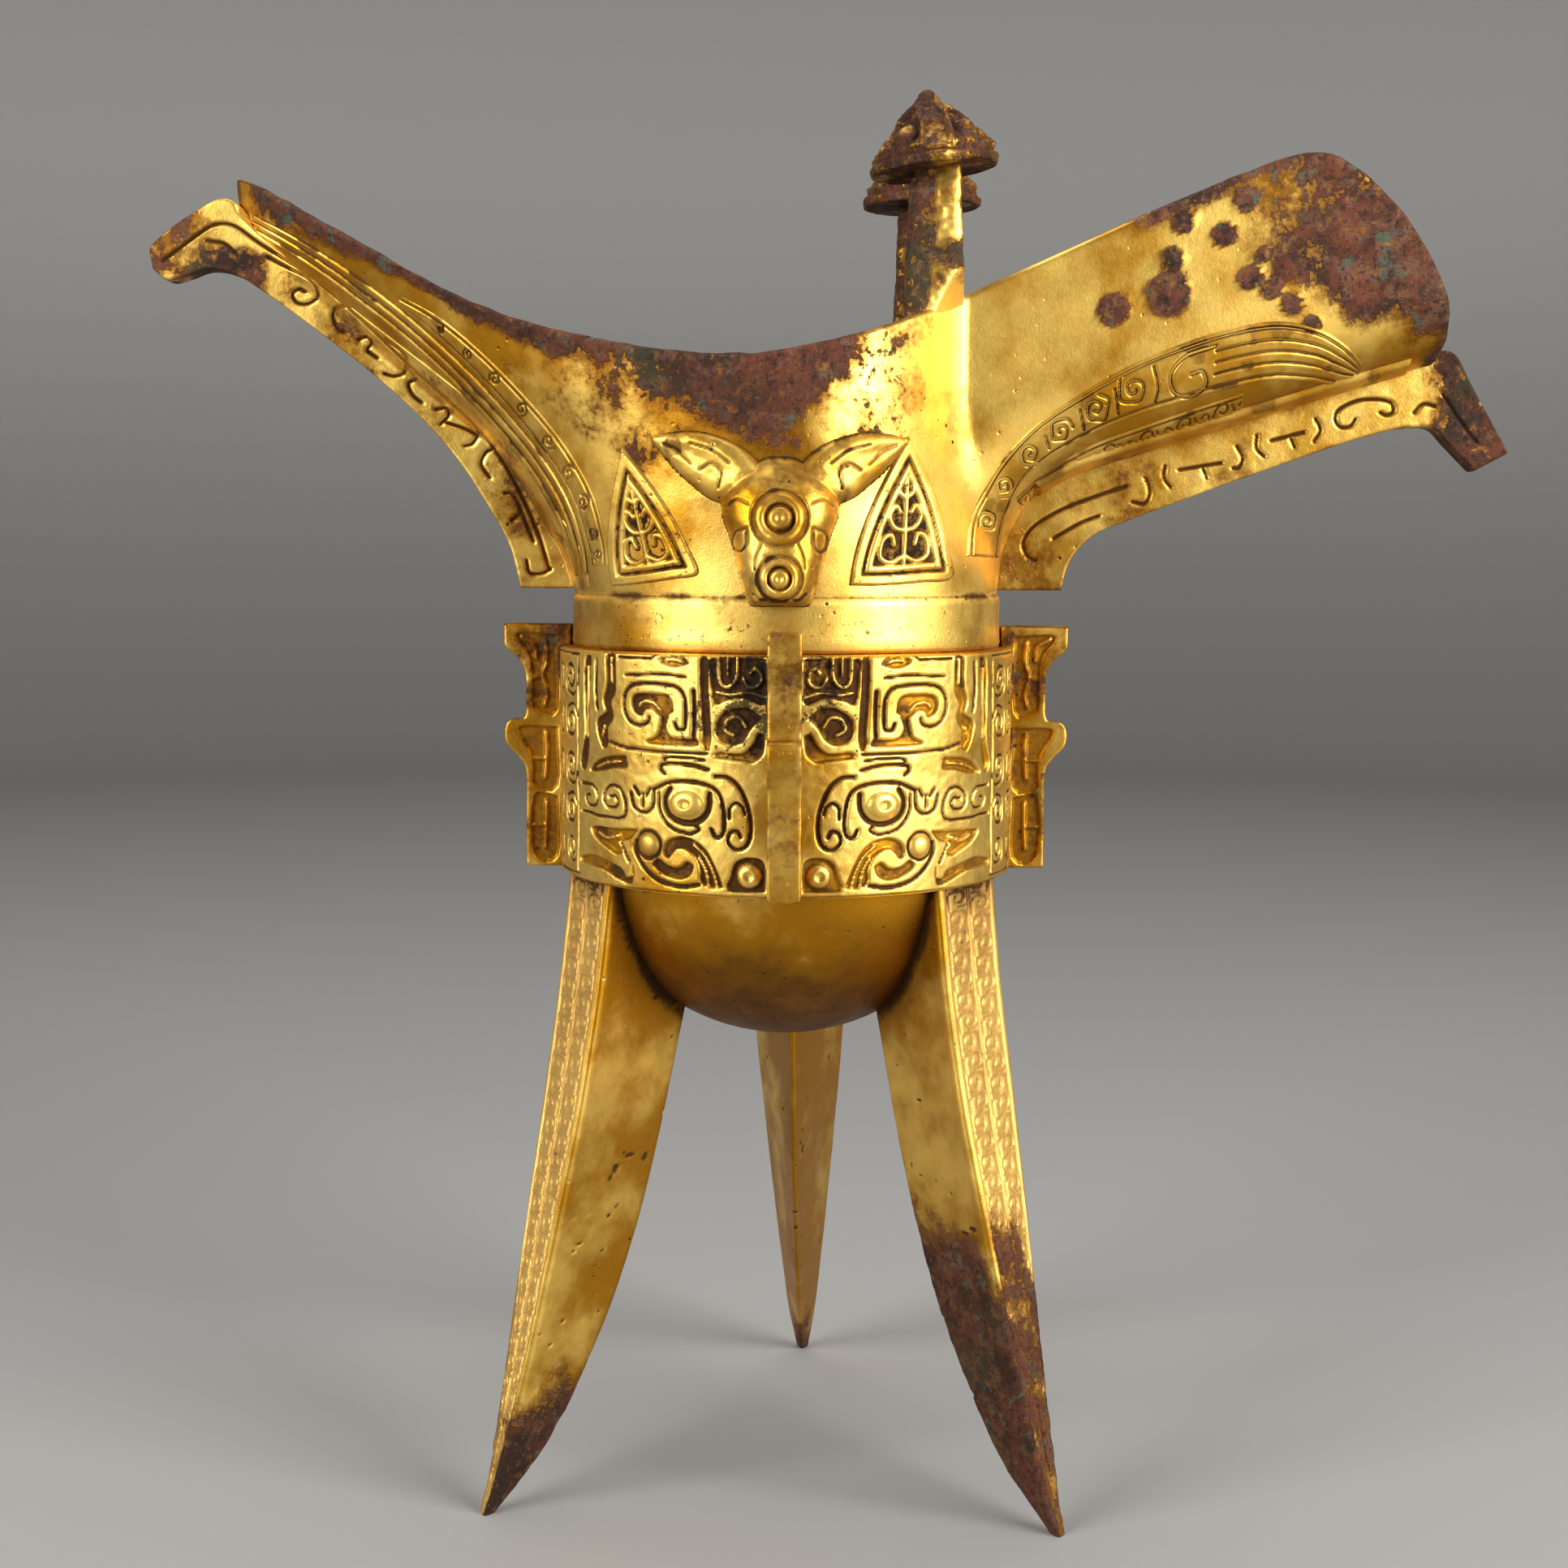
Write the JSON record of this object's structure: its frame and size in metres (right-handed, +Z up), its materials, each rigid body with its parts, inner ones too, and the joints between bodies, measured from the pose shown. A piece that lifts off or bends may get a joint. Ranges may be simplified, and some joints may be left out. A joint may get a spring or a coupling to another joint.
{
  "type": "bronze jue vessel",
  "caption": "Three-legged bronze wine cup with an open pouring spout, a pointed tail, capped rim posts, stepped flanges and a loop handle.",
  "frame": {"origin": "on the floor under the axis of the round cup", "axes": "+Z up along the cup axis, +X towards the spout, +Y towards the handle"},
  "size_m": [0.2083, 0.0999, 0.2118],
  "materials": {
    "gilt_bronze": "worn gilding over cast bronze, brown in the recesses",
    "aged_bronze": "red-brown and green corroded bronze with traces of gilding"
  },
  "bodies": {
    "root": {"bowl": "gilt_bronze", "mouth": "gilt_bronze", "left_leg": "gilt_bronze", "right_leg": "gilt_bronze", "rear_leg": "gilt_bronze", "front_head": "gilt_bronze", "handle_head": "gilt_bronze", "front_flange": "gilt_bronze", "left_flange": "gilt_bronze", "right_flange": "gilt_bronze", "spout_keel": "gilt_bronze", "tail_keel": "gilt_bronze", "handle": "gilt_bronze", "front_post": "aged_bronze", "rear_post": "aged_bronze", "front_cap": "aged_bronze", "rear_cap": "aged_bronze"}
  },
  "joints": []
}
